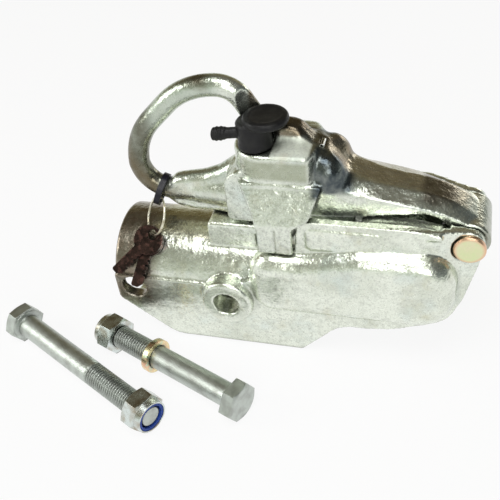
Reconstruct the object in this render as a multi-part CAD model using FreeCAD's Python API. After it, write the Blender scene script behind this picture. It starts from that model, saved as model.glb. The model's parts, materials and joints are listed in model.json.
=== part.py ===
import FreeCAD, Part
import os
from math import cos, hypot, pi, radians, sin, sqrt, tan

from FreeCAD import Placement, Rotation, Vector

# Trailer coupling head. Millimetres, +X towards the nose, +Z up, origin at the ball centre.

# Ball socket
ball_r = 25.0
socket_gap = 0.4
dome_wall = 7.6
socket_skirt = 15.0

# Cross bolts and the drawbar socket they pass through
bolt_r = 8.0
bolt_hole_gap = 0.75
bolt_line_z = -2.0
front_bolt_x = -112.0
bolt_spacing = 68.0
bore_r = 30.0
barrel_wall = 6.5
bore_end_cover = 16.0
rear_end_x = -193.0
boss_r = 17.5
boss_face_y = 44.0

# Side plates and upper walls
floor_z = -44.0
plate_y = 37.0
plate_wall = 6.0
deck_y = 31.5
nose_y = 23.5
ear_wall = 5.5
deck_wall = 6.0
nose_web = 6.0
deck_z = 63.0
deck_fall_x = 6.0
deck_rear_x = -64.0
chamber_rear_x = -82.0
foot_rear_x = -146.0
foot_front_x = -64.0
foot_front_r = 4.0

# Flank bulge that houses the socket and the jaw
bulge_y = 42.0
bulge_low_z = -10.0
bulge_top_z = 38.0
bulge_front_z = 46.0
bulge_front_r = 23.0
bulge_rear_x = -97.0
bulge_edge_r = 13.0

# Catch lug under the lock
lug_y = 20.0
lug_top_z = 47.0
lug_rear_x = -126.0
lug_front_x = -78.0
lug_roof = 6.0

# Nose pin
pin_x = 38.0
pin_z = 48.0
pin_r = 6.0
pin_head_r = 9.5
pin_head_t = 3.0
running_gap = 0.05
side_gap = 0.5
nose_boss_r = 12.0
ear_r = 10.2
nose_foot_x = 37.5

# Handle arm, housing and flaps
arm_y = 20.0
arm_nose_y = 17.2
arm_wall = 6.0
neck_y = 13.0
hump_y = 8.0
housing_y = 25.0
housing_top_z = 103.0
housing_low_z = 82.0
housing_rear_x = -105.0
housing_front_x = -56.0
flap_y = 36.0
flap_wall = 4.0
flap_low_z = 39.5
flap_slit = 1.6

# Lifting ring
ring_r = 6.9
ring_left_x = -174.2
ring_top_z = 135.4
ring_low_z = 58.0
ring_root_y = 10.0
ring_root_z = 10.5

# Underside of the handle over the catch lug
saddle_gap = 4.0

# Key lock
lock_x = -90.0
lock_y = -12.0
sleeve_r = 9.0
sleeve_depth = 24.0
plug_r = 6.5
spindle_r = 4.0
dog_length = 14.5
dog_width = 6.0
dog_height = 5.0
cap_r = 11.0
cap_height = 21.5
cap_brim_r = 13.9
cap_brim_shift = 7.5
cap_brim_t = 5.0
cap_gap = 0.3

# Jaw
jaw_pin_x = -44.0
jaw_pin_z = 44.0
jaw_pin_r = 5.0
jaw_boss_r = 10.5
jaw_boss_y = 8.5
jaw_pad_y = 19.0
jaw_pad_wall = 13.0
jaw_low_angle = 48.0
jaw_room_y = 22.0
clevis_wall = 6.0

# Springs and clips
handle_wire_r = 1.1
jaw_wire_r = 0.9
clip_t = 1.2
clip_w = 2.2

# Loose cross bolts, resting on the floor
bolt_1_length = 132.0
bolt_2_length = 112.0
hex_flats = 24.0
hex_chamfer_in = 0.4
head_height = 10.0
nut_height = 11.5
nut_collar = 4.5
insert_t = 3.6
washer_t = 4.0
washer_w = 3.4
washer_split = 2.0

# Loose cross bolts lie on the floor in front of the head: middle and direction of each
loose_1_x = -202.0
loose_1_y = -88.0
loose_1_turn = -27.4
loose_2_x = -149.6
loose_2_y = -73.0
loose_2_turn = -22.5
washer_place = 49.0

# Keys
key_t = 2.2
key_gap = 0.35
key_bow_r = 10.0
key_bow_reach = 5.0
key_blade_w = 7.6
key_blade_l = 23.0
key_hole_r = 3.8
key_ring_r = 13.0
key_wire_r = 0.8
key_lean = 50.0
key_1_turn = -12.0
key_2_turn = -42.0
tie_angle = 20.0
tie_lean = 60.0
tie_t = 1.5
tie_w = 4.0
tie_room = 5.0
tie_gap = 0.3
key_wire_gap = 0.6

# Roll pin that lies in a groove across the hump
roll_pin_x = -51.5
roll_pin_z = 101.2
roll_pin_r = 1.5
roll_pin_low_y = -6.0
roll_pin_high_y = 1.5

barrel_r = bore_r + barrel_wall
ring_corner_r = 21.0
saddle_floor_z = lug_top_z + saddle_gap
socket_r = ball_r + socket_gap
dome_r = socket_r + dome_wall
bolt_hole_r = bolt_r + bolt_hole_gap
rear_bolt_x = front_bolt_x - bolt_spacing
ear_in_y = nose_y - ear_wall
far = 400.0


def lift_xz(u, v):
    return Vector(u, 0, v)


def lift_xy(u, v):
    return Vector(u, v, 0)


def lift_yz(u, v):
    return Vector(0, u, v)


def rounded_edges(corners, lift, closed=True):
    """Straight runs joined by tangent arcs; each corner is (u, v) or (u, v, radius)."""
    count = len(corners)
    points = [lift(c[0], c[1]) for c in corners]
    radii = [c[2] if len(c) > 2 else 0.0 for c in corners]
    starts = []
    ends = []
    arcs = []
    for i in range(count):
        here = points[i]
        inner = closed or 0 < i < count - 1
        if not inner or radii[i] <= 0:
            starts.append(here)
            ends.append(here)
            arcs.append(None)
            continue
        back = points[i - 1].sub(here)
        ahead = points[(i + 1) % count].sub(here)
        back.normalize()
        ahead.normalize()
        half = back.getAngle(ahead) / 2
        reach = radii[i] / tan(half)
        middle = back.add(ahead)
        middle.normalize()
        sagitta = radii[i] / sin(half) - radii[i]
        starts.append(here.add(back * reach))
        ends.append(here.add(ahead * reach))
        arcs.append(here.add(middle * sagitta))
    edges = []
    for i in range(count):
        if arcs[i] is not None:
            edges.append(Part.Arc(starts[i], arcs[i], ends[i]).toShape())
        if i == count - 1 and not closed:
            continue
        nearer = starts[(i + 1) % count]
        if ends[i].distanceToPoint(nearer) > 1e-6:
            edges.append(Part.LineSegment(ends[i], nearer).toShape())
    return edges


def prism(corners, lift, low, high):
    face = Part.Face(Part.Wire(rounded_edges(corners, lift)))
    along = Vector(1, 1, 1).sub(lift(1, 1))
    face.translate(along * low)
    return face.extrude(along * (high - low))


def prism_y(corners, low, high):
    return prism(corners, lift_xz, low, high)


def prism_z(corners, low, high):
    return prism(corners, lift_xy, low, high)


def prism_x(corners, low, high):
    return prism(corners, lift_yz, low, high)


def mirrored_pair(corners, inner, outer):
    """The same XZ profile on both flanks, between two distances from the middle."""
    return prism_y(corners, inner, outer).fuse(prism_y(corners, -outer, -inner))


def rod(start, end, radius):
    along = end.sub(start)
    return Part.makeCylinder(radius, along.Length, start, along)


def rod_y(x, z, radius, low, high):
    return Part.makeCylinder(radius, high - low, Vector(x, low, z), Vector(0, 1, 0))


def rod_z(x, y, radius, low, high):
    return Part.makeCylinder(radius, high - low, Vector(x, y, low), Vector(0, 0, 1))


def rod_x(y, z, radius, low, high):
    return Part.makeCylinder(radius, high - low, Vector(low, y, z), Vector(1, 0, 0))


def block(x0, x1, y0, y1, z0, z1):
    return Part.makeBox(x1 - x0, y1 - y0, z1 - z0, Vector(x0, y0, z0))


def fuse_all(shapes):
    return shapes[0].multiFuse(shapes[1:]).removeSplitter()


# Coupling body


def plate_outline():
    """Side view of the plates: feet, nose sweep, ears, upper deck and the drawbar end."""
    return [
        (rear_end_x, bolt_line_z + 10),
        (rear_end_x, bolt_line_z - 11, 5),
        (foot_rear_x - 8, floor_z, 26),
        (foot_front_x, floor_z, foot_front_r),
        (-38, -17, 22),
        (12, -15, 14),
        (nose_foot_x - 8, -13, 14),
        (nose_foot_x, 5, 20),
        (pin_x + ear_r - 4, pin_z - 14, 16),
        (pin_x + ear_r, pin_z + ear_r - 0.5, ear_r - 1),
        (deck_fall_x, deck_z, 30),
        (deck_rear_x, deck_z, 5),
        (deck_rear_x - 4, bolt_line_z + 24, 4),
        (rear_end_x + 70, bolt_line_z + 10),
    ]


def plate_plan():
    """Plan view of the plates: parallel beside the drawbar, narrower at the nose."""
    return [
        (rear_end_x, -plate_y),
        (-8, -plate_y, 50),
        (pin_x - 2, -nose_y, 30),
        (pin_x + 30, -nose_y),
        (pin_x + 30, nose_y),
        (pin_x - 2, nose_y, 30),
        (-8, plate_y, 50),
        (rear_end_x, plate_y),
    ]


def plate_section():
    """End view of the plates: wide below, narrower at the upper deck."""
    return [
        (-plate_y, floor_z, 1.5),
        (plate_y, floor_z, 1.5),
        (plate_y, 14),
        (deck_y, bulge_top_z),
        (deck_y, deck_z + ear_r),
        (-deck_y, deck_z + ear_r),
        (-deck_y, bulge_top_z),
        (-plate_y, 14),
    ]


def plates():
    side = prism_y(plate_outline(), -plate_y, plate_y)
    plan = prism_z(plate_plan(), floor_z, deck_z + ear_r)
    section = prism_x(plate_section(), rear_end_x, pin_x + 30)
    return side.common(plan).common(section)


def bulge():
    outline = [
        (bulge_rear_x, bulge_low_z, 17),
        (dome_r, bulge_low_z, bulge_front_r),
        (dome_r, bulge_front_z, bulge_front_r),
        (-26, bulge_front_z, 40),
        (-60, bulge_top_z, 40),
        (bulge_rear_x, bulge_top_z, 17),
    ]
    solid = prism_y(outline, -bulge_y, bulge_y)
    faces_y = (-bulge_y, bulge_y)
    rims = [e for e in solid.Edges if min(abs(e.CenterOfMass.y - y) for y in faces_y) < 0.01]
    return solid.makeFillet(bulge_edge_r, rims)


def chamber_section(inner_y):
    """End view of the hollow between the plates, drawn in under the deck walls."""
    return [
        (-inner_y, floor_z - 20),
        (inner_y, floor_z - 20),
        (inner_y, bulge_top_z - 9, 3),
        (jaw_room_y, bulge_top_z, 3),
        (jaw_room_y, deck_z + 40),
        (-jaw_room_y, deck_z + 40),
        (-jaw_room_y, bulge_top_z, 3),
        (-inner_y, bulge_top_z - 9, 3),
    ]


def dome():
    ball = Part.makeSphere(dome_r)
    skirt = rod_z(0, 0, dome_r, -socket_skirt, 0)
    upper = block(-dome_r, dome_r, -dome_r, dome_r, 0, dome_r)
    return ball.common(upper).fuse(skirt)


def socket_hollow():
    ball = Part.makeSphere(socket_r)
    mouth = rod_z(0, 0, socket_r, floor_z - 10, 0)
    flare = Part.makeCone(socket_r + 4, socket_r, 4, Vector(0, 0, -socket_skirt), Vector(0, 0, 1))
    return ball.fuse(mouth).fuse(flare)


def barrel():
    solid = rod_x(0, bolt_line_z, barrel_r, rear_end_x, chamber_rear_x)
    rear = [e for e in solid.Edges if abs(e.CenterOfMass.x - rear_end_x) < 0.01]
    return solid.makeChamfer(1.5, rear)


def catch_lug():
    lug = block(lug_rear_x, lug_front_x, -lug_y, lug_y, bolt_line_z + bore_r, lug_top_z)
    tops = [e for e in lug.Edges if e.BoundBox.ZMin > lug_top_z - 0.01]
    return lug.makeFillet(2.5, tops)


def lug_hollow():
    """Slot that the lock's hammer head enters, and the round pocket it turns in."""
    slot_x = dog_length / 2 + 1.6
    slot_y = spindle_r + 0.6
    roof_z = lug_top_z - lug_roof
    pocket_low = roof_z - dog_height - 3
    over = lug_top_z + 5
    slot = block(lock_x - slot_x, lock_x + slot_x, lock_y - slot_y, lock_y + slot_y, pocket_low, over)
    pocket = rod_z(lock_x, lock_y, hypot(dog_length, dog_width) / 2 + 0.7, pocket_low, roof_z)
    return slot.fuse(pocket)


def bolt_boss():
    solid = rod_y(front_bolt_x, bolt_line_z, boss_r, -boss_face_y, boss_face_y)
    rims = [e for e in solid.Edges if abs(abs(e.CenterOfMass.y) - boss_face_y) < 0.01]
    return solid.makeChamfer(1.8, rims)


def band(low_x, high_x, low_z, high_z, skin):
    """Shallow raised band on both flanks of the deck walls."""
    outline = [(low_x, low_z, 3), (high_x, low_z, 3), (high_x, high_z, 3), (low_x, high_z, 3)]
    return mirrored_pair(outline, deck_y - 2, deck_y + skin)


def ear_spot_faces():
    """Flat round seats for the pin's head and clip."""
    seat = rod_y(pin_x, pin_z, pin_head_r + 1, nose_y, far)
    return seat.fuse(rod_y(pin_x, pin_z, pin_head_r + 1, -far, -nose_y))


def deck_recess():
    """Inner faces of the deck walls, set back between the ears and the flaps."""
    deck_in_y = deck_y - deck_wall
    return block(chamber_rear_x, pin_x - ear_r - 6, -deck_in_y, deck_in_y, bulge_top_z, far)


def bulge_hollow():
    """The flank bulges are hollow towards the jaw chamber."""
    half = bulge_y - plate_wall - 1
    outline = [
        (chamber_rear_x, bulge_low_z + 6, 8),
        (-24, bulge_low_z + 6, 8),
        (-24, bulge_top_z - 10, 8),
        (chamber_rear_x, bulge_top_z - 10, 8),
    ]
    return prism_y(outline, -half, half)


def nose_pocket():
    """Pocket from above between the dome and the nose web."""
    outline = [
        (dome_r - 18, pin_z - nose_boss_r),
        (dome_r - 18, 14, 4),
        (nose_foot_x - nose_web + 1.5, 14, 4),
        (pin_x + ear_r - 3 - nose_web, pin_z - nose_boss_r),
    ]
    return prism_y(outline, -ear_in_y, ear_in_y)


def spring_rest():
    """Rib on the nose web that the handle spring's lower leg pushes on."""
    top = pin_z - handle_coil_r() - handle_wire_r - 0.05
    foot = pin_z - nose_boss_r - 10
    half = arm_nose_y - arm_wall - 3
    outline = [
        (pin_x - 16, foot),
        (pin_x, foot),
        (pin_x, foot + 7),
        (pin_x - 11, foot + 8),
        (pin_x - 11, top),
        (pin_x - 16, top),
    ]
    return prism_y(outline, -half, half)


def coupling_body():
    hollow_y = plate_y - plate_wall
    chamber_front_x = -socket_r
    under = prism_x(chamber_section(hollow_y), rear_end_x - 1, chamber_front_x)
    over_dome = prism_x(chamber_section(hollow_y), chamber_front_x - 1, dome_r - 7)
    over_dome = over_dome.common(block(-far, far, -far, far, 6, far))
    nose_slot = block(-socket_r, pin_x + 40, -ear_in_y, ear_in_y, pin_z - nose_boss_r - 3, far)
    shell = plates().fuse(bulge())
    shell = shell.cut([under, over_dome, nose_slot, deck_recess(), bulge_hollow(), nose_pocket()])
    shell = shell.cut(ear_spot_faces())
    raised = band(-58, -12, 43, 58, 1.2)
    shell = shell.fuse([barrel(), dome(), bolt_boss(), catch_lug(), raised, spring_rest()])
    bore = rod_x(0, bolt_line_z, bore_r, rear_end_x - 1, chamber_rear_x - bore_end_cover)
    jaw_way = block(chamber_front_x - 30, -12, -jaw_room_y, jaw_room_y, floor_z - 20, 18)
    chamber = block(chamber_rear_x, chamber_front_x, -jaw_room_y, jaw_room_y, floor_z - 20, far)
    cuts = [bore, socket_hollow(), jaw_way, chamber, lug_hollow()]
    for x in (front_bolt_x, rear_bolt_x):
        cuts.append(rod_y(x, bolt_line_z, bolt_hole_r, -far, far))
    cuts.append(rod_y(pin_x, pin_z, pin_r + running_gap, -far, far))
    return shell.cut(cuts).removeSplitter()


# Handle


def ring_path():
    corners = [
        (housing_rear_x - 8, ring_low_z),
        (ring_left_x, ring_low_z, ring_corner_r),
        (ring_left_x, ring_top_z - 40, 48),
        (ring_left_x + 40, ring_top_z, 48),
        (ring_left_x + 70, ring_top_z, 18),
        (ring_left_x + 91, ring_top_z - 35),
    ]
    return Part.Wire(rounded_edges(corners, lift_xz, closed=False))


def section_ellipse(x, z, half_y, half_z):
    long_axis = max(half_y, half_z)
    short_axis = min(half_y, half_z)
    curve = Part.Ellipse(Vector(0, 0, 0), long_axis, short_axis)
    edge = curve.toShape()
    turn = Rotation(Vector(0, 1, 0), Vector(0, 0, 1), Vector(1, 0, 0), "ZXY")
    edge.Placement = Placement(Vector(x, 0, z), turn)
    return Part.Wire(edge)


def lifting_ring():
    path = ring_path()
    start = path.Edges[0].valueAt(path.Edges[0].FirstParameter)
    profile = Part.Wire(Part.makeCircle(ring_r, start, Vector(1, 0, 0)))
    ring = path.makePipeShell([profile], True, False)
    root = Part.makeLoft(
        [
            section_ellipse(ring_left_x + 24, ring_low_z, ring_r - 0.6, ring_r - 0.7),
            section_ellipse(ring_left_x + 46, ring_low_z + 2.5, ring_root_y, ring_root_z),
            section_ellipse(housing_rear_x + 4, ring_low_z + 4, ring_root_y + 5, ring_root_z + 2),
        ],
        True,
    )
    return ring.fuse(root)


def arm_section(x, top_y, top_z, crease_y, crease_z, low_z):
    points = [
        (crease_y, low_z),
        (crease_y, crease_z),
        (top_y, top_z),
        (-top_y, top_z),
        (-crease_y, crease_z),
        (-crease_y, low_z),
    ]
    ring = [Vector(x, y, z) for y, z in points]
    return Part.makePolygon(ring + ring[:1])


def arm():
    nose_top = pin_z + nose_boss_r
    sections = [
        arm_section(-60, neck_y, 87, arm_y + 0.5, 79.5, 60),
        arm_section(-34, neck_y, 85, arm_y + 0.2, 78, 61),
        arm_section(-12, 9, 78.5, arm_y - 0.1, 74.5, 64),
        arm_section(5, 8.5, 75.8, arm_y - 1, 71, 65.8),
        arm_section(21, 8.5, 71.8, arm_nose_y - 0.1, 66, 61),
        arm_section(pin_x - 5, 8.5, nose_top + 5.5, arm_nose_y - 0.3, nose_top + 1, pin_z - 1),
        arm_section(pin_x + 4, 8.2, nose_top - 1, arm_nose_y - 0.6, nose_top - 3, pin_z - 1),
    ]
    beam = Part.makeLoft(sections, True)
    nose = rod_y(pin_x, pin_z, nose_boss_r, -arm_nose_y, arm_nose_y)
    return beam.fuse(nose)


def hump():
    outline = [
        (-86, 90),
        (-86, 111, 6),
        (-73, 114.8, 8),
        (-64.5, 113, 5),
        (-56.5, 103.5, 5),
        (-49, 101.5, 5),
        (-36, 85.5, 12),
        (-26, 79),
        (-44, 73),
    ]
    solid = prism_y(outline, -hump_y, hump_y)
    return solid.makeFillet(3, [e for e in solid.Edges if abs(abs(e.CenterOfMass.y) - hump_y) < 0.01])


def housing():
    plan = [
        (housing_rear_x, -housing_y, 20),
        (housing_front_x, -housing_y + 1, 4),
        (housing_front_x + 3, -neck_y, 3),
        (housing_front_x + 3, neck_y, 3),
        (housing_front_x, housing_y - 1, 4),
        (housing_rear_x, housing_y, 20),
    ]
    box = prism_z(plan, housing_low_z - 12, housing_top_z)
    tops = [e for e in box.Edges if e.BoundBox.ZMin > housing_top_z - 0.01]
    return box.makeChamfer(1.6, tops)


def saddle_section():
    """End view of the saddle: from the housing out over the body's flanks and down."""
    return [
        (-flap_y, flap_low_z, 1),
        (-flap_y, 60, 8),
        (-housing_y - 0.5, housing_low_z, 3),
        (-housing_y - 0.5, housing_low_z + 2),
        (housing_y + 0.5, housing_low_z + 2),
        (housing_y + 0.5, housing_low_z, 3),
        (flap_y, 60, 8),
        (flap_y, flap_low_z, 1),
    ]


def saddle():
    side = [
        (-100, housing_low_z + 2),
        (-91, 66, 12),
        (-88.5, 56, 4),
        (-88.5, flap_low_z, 1),
        (-66.5, flap_low_z, 1),
        (-66.5, 59, 2),
        (-56, 65, 5),
        (-49, housing_low_z + 2),
    ]
    block_y = prism_y(side, -flap_y, flap_y)
    block_x = prism_x(saddle_section(), -120, -40)
    return block_y.common(block_x)


def root_block():
    """Solid heart of the handle that joins ring, housing, spindle bearing and arm."""
    outline = [
        (housing_rear_x - 6, saddle_floor_z, 4),
        (lock_x + 22, saddle_floor_z, 3),
        (housing_front_x - 6, deck_z + 3, 3),
        (housing_front_x - 6, housing_low_z + 6),
        (housing_rear_x - 6, housing_low_z + 6, 12),
    ]
    return prism_y(outline, -lug_y, lug_y)


def jaw_clevis():
    outline = [
        (-60, 78),
        (-58, 52, 6),
        (jaw_pin_x - 9.5, jaw_pin_z - 9, 8),
        (jaw_pin_x + 9.5, jaw_pin_z - 9, 8),
        (-30, 58, 8),
        (-28, 76),
    ]
    inner = jaw_boss_y + side_gap
    return mirrored_pair(outline, inner, inner + clevis_wall)


def arm_hollow():
    """Open channel along the underside of the arm."""
    outline = [
        (-58, 30),
        (-58, 78, 4),
        (-34, 77, 6),
        (-12, 70, 6),
        (5, 66.5, 6),
        (21, 60.5, 6),
        (pin_x - nose_boss_r + 1, 56, 3),
        (pin_x - nose_boss_r + 1, 30),
    ]
    width = arm_y - arm_wall
    return prism_y(outline, -width, width)


def nose_hollow():
    """Room for the coil spring between the arm's two nose cheeks."""
    width = arm_nose_y - arm_wall - 2
    room_r = nose_boss_r - 2.6
    room = rod_y(pin_x, pin_z, room_r, -width, width)
    way = block(pin_x - 20, pin_x, -width, width, 30, pin_z + room_r)
    return room.fuse(way)


def saddle_hollow():
    """Clearance inside the flaps over the catch lug and, further forward, over the deck walls."""
    width = flap_y - flap_wall
    deck_clear_z = deck_z + 2
    outline = [
        (lug_rear_x - 4, 0),
        (lug_rear_x - 4, saddle_floor_z),
        (lock_x + 22, saddle_floor_z, 4),
        (lock_x + 24, deck_clear_z, 1),
        (-30, deck_clear_z),
        (-30, 0),
    ]
    beam = block(-60, -20, -arm_y - 0.6, arm_y + 0.6, deck_z - 4, far)
    return prism_y(outline, -width, width).cut(beam)


def jaw_room():
    """Hollow above the body's chamber, between spindle bearing and neck."""
    width = arm_y - arm_wall
    return block(lock_x + 14, -58, -width, width, 40, housing_low_z - 6)


def jaw_spring_bar():
    """Cross bar between the clevis plates that the jaw spring's upper leg pushes on."""
    z = jaw_pin_z + jaw_coil_r() + jaw_wire_r + 2.05
    return rod_y(jaw_pin_x - 10, z, 2, -jaw_boss_y - 1, jaw_boss_y + 1)


def flap_slits():
    """Narrow groove down the outside of each flap, which parts it into two teeth."""
    slit_x = -77.5
    outline = [
        (slit_x - flap_slit / 2, 0),
        (slit_x + flap_slit / 2, 0),
        (slit_x + flap_slit / 2, 59, 0.7),
        (slit_x - flap_slit / 2, 59, 0.7),
    ]
    return mirrored_pair(outline, flap_y - 1.2, far)


def handle_casting():
    solid = fuse_all([arm(), housing(), saddle(), hump(), lifting_ring(), root_block()])
    solid = solid.cut([saddle_hollow(), jaw_room(), arm_hollow()])
    solid = solid.fuse([jaw_clevis(), jaw_spring_bar()])
    top = housing_top_z
    cuts = [
        nose_hollow(),
        flap_slits(),
        rod_y(pin_x, pin_z, pin_r + running_gap, -far, far),
        rod_y(jaw_pin_x, jaw_pin_z, jaw_pin_r + running_gap, -far, far),
        rod_z(lock_x, lock_y, cap_r + 1, top, far),
        rod_z(lock_x + cap_brim_shift, lock_y, cap_brim_r + 0.8, top + cap_height - cap_brim_t - 1, far),
        rod_z(lock_x, lock_y, sleeve_r, top - sleeve_depth, far),
        rod_z(lock_x, lock_y, spindle_r + running_gap, 0, far),
        rod_y(roll_pin_x, roll_pin_z, roll_pin_r, roll_pin_low_y, roll_pin_high_y),
    ]
    return solid.cut(cuts).removeSplitter()


def housing_roll_pin():
    tube = rod_y(roll_pin_x, roll_pin_z, roll_pin_r, roll_pin_low_y, roll_pin_high_y)
    core = rod_y(roll_pin_x, roll_pin_z, roll_pin_r - 0.6, -far, far)
    slot = block(roll_pin_x - 0.3, roll_pin_x + 0.3, -far, far, roll_pin_z, roll_pin_z + 10)
    return tube.cut(core).cut(slot)


# Nose pin, its clip and spring


def handle_pivot_pin():
    shank = rod_y(pin_x, pin_z, pin_r, -nose_y, nose_y + 4)
    head = rod_y(pin_x, pin_z, pin_head_r, -nose_y - pin_head_t, -nose_y)
    rim = [e for e in head.Edges if abs(e.CenterOfMass.y + nose_y + pin_head_t) < 0.01]
    head = head.makeChamfer(0.9, rim)
    groove = ring_y(pin_x, pin_z, pin_r - 1, pin_r + 2, nose_y + 0.4, clip_t)
    return shank.fuse(head).cut(groove).removeSplitter()


def ring_y(x, z, inner, outer, low, thick):
    return rod_y(x, z, outer, low, low + thick).cut(rod_y(x, z, inner, low - 1, low + thick + 1))


def open_clip(x, z, inner, low):
    """Flat retaining ring with its mouth towards +X."""
    clip = ring_y(x, z, inner, inner + clip_w, low, clip_t)
    mouth = block(x, x + 20, low - 1, low + clip_t + 1, z - inner * 0.6, z + inner * 0.6)
    return clip.cut(mouth)


def pivot_pin_clip():
    return open_clip(pin_x, pin_z, pin_r - 1, nose_y + 0.4)


def wire_outline(centre, way, radius):
    """Eight-sided outline of a wire, square to its direction."""
    across = way.cross(Vector(0.3, 0.2, 0.9))
    across.normalize()
    other = way.cross(across)
    turns = [radians(45 * i) for i in range(8)]
    points = [centre.add(across * (radius * cos(a))).add(other * (radius * sin(a))) for a in turns]
    return Part.makePolygon(points + points[:1])


def torsion_spring(x, z, coil_r, wire_r, turns, half_width, leg):
    """Coil about a pin along Y; both legs run towards -X, one from its top, one from its foot."""
    pitch = 2 * half_width / turns
    rise = pitch / (2 * pi * coil_r)
    helix = Part.makeHelix(pitch, 2 * half_width, coil_r).Edges[0]
    last = radians(360 * turns)
    start = Vector(coil_r, 0, 0)
    end = Vector(coil_r * cos(last), coil_r * sin(last), 2 * half_width)
    start_way = unit(0, 1, rise)
    end_way = unit(-sin(last), cos(last), rise)
    first_leg = Part.makeLine(start.sub(start_way * leg), start)
    last_leg = Part.makeLine(end, end.add(end_way * leg))
    path = Part.Wire([first_leg, helix, last_leg])
    profile = wire_outline(start.sub(start_way * leg), start_way, wire_r)
    spring = path.makePipeShell([profile], True, True)
    lay = Rotation(Vector(1, 0, 0), -90)
    turn = Rotation(Vector(0, 1, 0), -90)
    spring.Placement = Placement(Vector(x, -half_width, z), turn.multiply(lay))
    return spring


def handle_coil_r():
    return pin_r + 0.5 + handle_wire_r


def handle_spring():
    half = arm_nose_y - arm_wall - 2 - handle_wire_r - 1.5
    return torsion_spring(pin_x, pin_z, handle_coil_r(), handle_wire_r, 3.5, half, 17)


# Jaw


def jaw_outline():
    return [
        (jaw_pin_x - 9, jaw_pin_z + 4, 6),
        (jaw_pin_x + 6, jaw_pin_z + 9, 8),
        (jaw_pin_x + 10, jaw_pin_z - 6, 8),
        (-30, 12, 6),
        (-10, 6),
        (-10, -30),
        (-34, -32, 6),
        (-50, -8, 12),
        (-54, 16, 20),
    ]


def ball_jaw():
    lever = prism_y(jaw_outline(), -jaw_boss_y, jaw_boss_y)
    boss = rod_y(jaw_pin_x, jaw_pin_z, jaw_boss_r, -jaw_boss_y, jaw_boss_y)
    pad_r = socket_r + jaw_pad_wall
    pad = Part.makeSphere(pad_r).common(block(-pad_r, -10, -jaw_pad_y, jaw_pad_y, -30, 8))
    solid = lever.fuse([boss, pad])
    solid = solid.cut(Part.makeSphere(socket_r))
    low = Vector(-cos(radians(jaw_low_angle)), 0, -sin(radians(jaw_low_angle)))
    tip = low * socket_r
    trim = prism_y(
        [
            (tip.x, tip.z),
            (tip.x + 40, tip.z + 40),
            (tip.x + 40, tip.z - 60),
            (tip.x - 14, tip.z - 60),
            (tip.x - 7, tip.z - 7),
        ],
        -far,
        far,
    )
    solid = solid.cut(trim)
    solid = solid.cut(rod_z(0, 0, 14, -far, 0))
    spring_room = rod_y(jaw_pin_x, jaw_pin_z, jaw_boss_r + 3, -jaw_boss_y + 4, jaw_boss_y - 4)
    bore = rod_y(jaw_pin_x, jaw_pin_z, jaw_pin_r + running_gap, -far, far)
    return solid.cut([spring_room, bore]).removeSplitter()


def jaw_pivot_pin():
    reach = jaw_boss_y + side_gap + clevis_wall + 2.6
    pin = rod_y(jaw_pin_x, jaw_pin_z, jaw_pin_r, -reach, reach)
    for low in jaw_clip_lows():
        pin = pin.cut(ring_y(jaw_pin_x, jaw_pin_z, jaw_pin_r - 0.8, jaw_pin_r + 2, low, clip_t))
    return pin


def jaw_clip_lows():
    face = jaw_boss_y + side_gap + clevis_wall + 0.2
    return (face, -face - clip_t)


def jaw_pin_clips():
    clips = [open_clip(jaw_pin_x, jaw_pin_z, jaw_pin_r - 0.8, low) for low in jaw_clip_lows()]
    return Part.makeCompound(clips)


def jaw_coil_r():
    return jaw_pin_r + 0.6 + jaw_wire_r


def jaw_spring():
    half = jaw_boss_y - 4 - jaw_wire_r - 1.1
    return torsion_spring(jaw_pin_x, jaw_pin_z, jaw_coil_r(), jaw_wire_r, 2.5, half, 10)


# Key lock


def lock_sleeve():
    low = housing_top_z - sleeve_depth
    sleeve = rod_z(lock_x, lock_y, sleeve_r, low, housing_top_z + 1.5)
    return sleeve.cut(rod_z(lock_x, lock_y, plug_r + running_gap, low - 1, housing_top_z + 3))


def lock_barrel():
    low = housing_top_z - sleeve_depth + 0.3
    plug = rod_z(lock_x, lock_y, plug_r, low, housing_top_z + 1.2)
    top = housing_top_z + 3
    keyway = block(lock_x - 0.8, lock_x + 0.8, lock_y - 4.4, lock_y + 4.4, top - 17, top)
    tang = block(lock_x - 1.6, lock_x + 1.6, lock_y - plug_r - 1, lock_y + plug_r + 1, low - 1, low + 4)
    return plug.cut(keyway).cut(tang)


def lock_spindle():
    low = housing_top_z - sleeve_depth
    head_top = lug_top_z - lug_roof - 0.7
    shaft = rod_z(lock_x, lock_y, spindle_r, head_top - 1, low)
    flat_y = spindle_r - 0.4
    blade = block(lock_x - 1.5, lock_x + 1.5, lock_y - flat_y, lock_y + flat_y, low - 1, low + 4)
    head = block(
        lock_x - dog_length / 2,
        lock_x + dog_length / 2,
        lock_y - dog_width / 2,
        lock_y + dog_width / 2,
        head_top - dog_height,
        head_top,
    )
    head = head.makeFillet(1.5, [e for e in head.Edges if abs(e.BoundBox.ZLength - dog_height) < 0.01])
    groove_z = spindle_clip_z()
    groove = rod_z(lock_x, lock_y, spindle_r + 2, groove_z, groove_z + clip_t)
    groove = groove.cut(rod_z(lock_x, lock_y, spindle_r - 0.7, groove_z - 1, groove_z + clip_t + 1))
    return fuse_all([shaft, blade, head]).cut(groove)


def spindle_clip_z():
    return saddle_floor_z - 0.3 - clip_t


def spindle_clip():
    low = spindle_clip_z()
    inner = spindle_r - 0.7
    clip = rod_z(lock_x, lock_y, inner + clip_w, low, low + clip_t)
    clip = clip.cut(rod_z(lock_x, lock_y, inner, low - 1, low + clip_t + 1))
    half = inner * 0.6
    return clip.cut(block(lock_x, lock_x + 20, lock_y - half, lock_y + half, low - 1, low + 5))


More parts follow.
